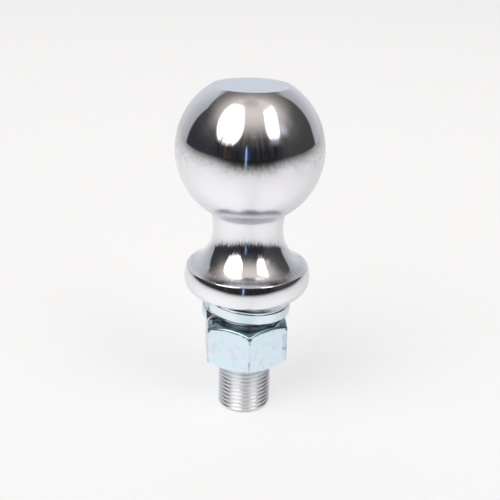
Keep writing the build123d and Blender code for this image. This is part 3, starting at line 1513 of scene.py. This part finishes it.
@dataclass
class Room:
    """The dim studio round the floor, with two large soft windows, as light by direction.

    Azimuths are in degrees from the camera's side, positive towards +X, and elevations are above
    level.
    """

    pale: Colour = (0.86, 0.86, 0.86)
    black: Colour = (0.018, 0.018, 0.021)
    left_shade: Colour = (0.034, 0.036, 0.042)
    left_azimuths: Step = (-42.0, -66.0)
    right_shade: Colour = (0.052, 0.052, 0.053)
    right_azimuths: Step = (36.0, 66.0)
    back_azimuths: Step = (140.0, 176.0)
    brown: Patch = Patch((-40.0, -29.0, 4.0), (-14.0, 12.0, 5.0), (0.045, 0.030, 0.023))
    warm: Colour = (1.0, 0.91, 0.83)
    tones: Stops = (
        (8.0, 0.0),
        (20.0, 0.032),
        (30.0, 0.098),
        (40.0, 0.285),
        (50.0, 0.505),
        (60.0, 0.64),
        (70.0, 0.68),
        (80.0, 0.60),
        (90.0, 0.44),
    )
    lowering: Stops = (
        (70.0, 0.0),
        (90.0, 0.20),
        (105.0, 0.36),
        (120.0, 0.47),
        (140.0, 0.56),
        (180.0, 0.58),
    )
    lowering_level: float = 12.0
    corner_azimuths: Step = (80.0, 100.0)
    corner_elevations: Step = (50.0, 36.0)
    corner_dimming: float = 0.5
    zenith: float = 0.46
    zenith_elevations: Step = (76.0, 88.0)
    wall_strands: Strands = Strands(2.2, 3.0)
    strand_noise: Step = (0.3, 0.7)
    strand_contrast: float = 1.2
    strand_shade: float = 0.5
    strand_azimuths: Step = (70.0, 50.0)
    strand_elevations: Step = (46.0, 26.0)
    backdrop: Backdrop = Backdrop()
    cloth: Colour = (0.60, 0.58, 0.63)
    curtain: Patch = Patch((50.0, 68.0, 8.0), (29.0, 48.0, 7.0), cloth)
    folds: Strands = Strands(3.0, 40.0)
    fold_contrast: float = 0.9
    fold_light: float = 0.35
    glow: Patch = Patch((34.0, 48.0, 6.0), (20.0, 30.0, 5.0), cloth, share=0.45)
    lamp: Patch = Patch((4.5, 8.5, 1.4), (31.8, 33.2, 0.9), cloth, share=0.35)
    streak_edge: Patch = Patch((-10.6, 0.5, 2.6), (-12.0, 16.0, 6.0), (0.02, 0.045, 0.10))
    streak: Patch = Patch((-6.0, -4.4, 0.9), (-12.0, 17.0, 5.0), (0.55, 0.75, 0.95))
    daylight: Colour = (1.0, 1.0, 1.0)
    window_light: float = 1.7
    foot_strands: Strands = Strands(2.5, 11.0)
    post_azimuths: Band = (-47.4, -45.6, 0.5)
    post_elevations: Step = (29.0, 26.0)
    left: Window = Window(
        side=-1.0,
        inner=13.6,
        inner_level=45.0,
        inner_bow=1.7,
        outer=60.0,
        outer_slope=0.75,
        outer_bow=0.0,
        head=76.0,
        head_azimuth=53.0,
        head_bow=0.6,
        foot=18.5,
        foot_azimuth=36.0,
        foot_bow=1.0,
        raggedness=14.0,
    )
    right: Window = Window(
        side=1.0,
        inner=30.0,
        inner_level=40.0,
        inner_bow=1.8,
        outer=51.5,
        outer_slope=0.5,
        outer_bow=3.4,
        head=67.5,
        head_azimuth=62.0,
        head_bow=0.3,
        foot=27.0,
        foot_azimuth=40.0,
        foot_bow=0.5,
        raggedness=7.0,
    )

    def build(self) -> bpy.types.World:
        """Builds the world's light.

        Returns:
            The world, set on the scene.
        """
        world = bpy.data.worlds.new("studio_room")
        bpy.context.scene.world = world
        world.use_nodes = True
        tree = world.node_tree
        x, y, z = split(tree.nodes.new("ShaderNodeTexCoord").outputs["Generated"])
        azimuth = x.math("ARCTAN2", y * -1.0) * DEGREES
        elevation = z.math("ARCSINE") * DEGREES
        light = self.windows(azimuth, elevation, self.walls(azimuth, elevation))
        camera, _ = ray_kinds(tree)
        feed(tree.nodes["Background"].inputs["Color"], mix(camera, light, self.pale))
        return world

    def walls(self, azimuth: Scalar, elevation: Scalar) -> bpy.types.NodeSocket:
        """Works out the walls, the ceiling and the backdrop behind the part.

        Args:
            azimuth: The direction's azimuth.
            elevation: Its elevation.

        Returns:
            The colour's socket.
        """
        aside = azimuth.math("ABSOLUTE")
        raised = (elevation - self.lowering_level).largest(0.0)
        height = elevation - raised * aside.follow(self.lowering)
        corner = aside.rise(*self.corner_azimuths) * elevation.rise(*self.corner_elevations)
        tone = height.follow(self.tones) * (corner * self.corner_dimming).remainder()
        overhead = elevation.rise(*self.zenith_elevations)
        tone = tone + overhead * (tone * -1.0 + self.zenith)
        dark = mix(azimuth.rise(*self.left_azimuths), self.black, self.left_shade)
        dark = mix(azimuth.rise(*self.right_azimuths), dark, self.right_shade)
        dark = mix(aside.rise(*self.back_azimuths), dark, self.left_shade)
        dark = mix(self.brown.mask(azimuth, elevation), dark, self.brown.colour)
        strands = self.wall_strands.read(azimuth, elevation).rise(*self.strand_noise)
        low = elevation.rise(*self.strand_elevations) * aside.rise(*self.strand_azimuths)
        uneven = (strands * self.strand_contrast - self.strand_shade) * low + 1.0
        plain = vector_math("ADD", dark, mix(tone, BLACK, self.warm))
        return self.backdrop.over(vector_math("SCALE", plain, scale=uneven), azimuth, elevation)

    def windows(
        self, azimuth: Scalar, elevation: Scalar, light: bpy.types.NodeSocket
    ) -> bpy.types.NodeSocket:
        """Adds the windows, the curtain beside the right one and the bright streak in front.

        Args:
            azimuth: The direction's azimuth.
            elevation: Its elevation.
            light: The colour of the walls.

        Returns:
            The colour's socket.
        """
        folds = self.folds.read(azimuth, elevation) * self.fold_contrast + self.fold_light
        light = mix(self.curtain.mask(azimuth, elevation) * folds, light, self.curtain.colour)
        for patch in (self.glow, self.lamp, self.streak_edge, self.streak):
            light = mix(patch.mask(azimuth, elevation), light, patch.colour)
        strands = self.foot_strands.read(azimuth, elevation) - NOISE_MEAN
        post = azimuth.within(*self.post_azimuths) * elevation.rise(*self.post_elevations)
        left = self.left.mask(azimuth, elevation, strands) * post.remainder()
        right = self.right.mask(azimuth, elevation, strands)
        daylight = tuple(self.window_light * part for part in self.daylight)
        return mix(left.largest(right), light, daylight)


@dataclass
class Viewpoint:
    """The camera, at the photograph's angle."""

    target: tuple[float, float, float] = (0.88, 0.0, 61.1)
    distance: float = 301.94
    elevation: float = 21.62
    roll: float = 1.55
    focal_length: float = 61.59
    sensor_width: float = 36.0
    clip_start: float = 0.01  # in metres

    def build(self) -> bpy.types.Object:
        """Places the camera in front of the part, looking down at the target from its elevation.

        Returns:
            The camera, set on the scene.
        """
        camera = bpy.data.cameras.new("photograph")
        camera.lens = self.focal_length
        camera.sensor_width = self.sensor_width
        camera.clip_start = self.clip_start
        viewer = bpy.data.objects.new("photograph", camera)
        bpy.context.scene.collection.objects.link(viewer)
        pitch = Matrix.Rotation(np.radians(90.0 - self.elevation), 4, "X")
        roll = Matrix.Rotation(np.radians(self.roll), 4, "Z")
        back = pitch @ Vector((0.0, 0.0, self.distance))
        place = Matrix.Translation((Vector(self.target) + back) * MILLIMETRE)
        viewer.matrix_world = place @ pitch @ roll
        bpy.context.scene.camera = viewer
        return viewer


def corners(bounds: tuple[Vector, Vector]) -> list[list[float]]:
    """Gives a box's two corners as plain lists of numbers."""
    return [[float(value) for value in corner] for corner in bounds]


def main() -> None:
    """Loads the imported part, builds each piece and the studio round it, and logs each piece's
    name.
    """
    logging.basicConfig(level=logging.INFO, format="%(message)s")
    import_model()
    thread = Thread()
    builders = [
        BallStud(chrome=MirrorChrome(), thread=thread),
        HexNut(zinc=NutZinc("bright_zinc_nut"), thread=thread),
        LockWasher(zinc=BrightZinc("bright_zinc_washer", base=(0.84, 0.925, 0.97))),
        Floor(),
        Viewpoint(),
    ]
    for builder in builders:
        piece = builder.build()
        LOG.info("%s: %s", type(builder).__name__, piece.name)
    Room().build()
    bpy.context.scene.view_settings.view_transform = "Standard"


if __name__ == "__main__":
    main()
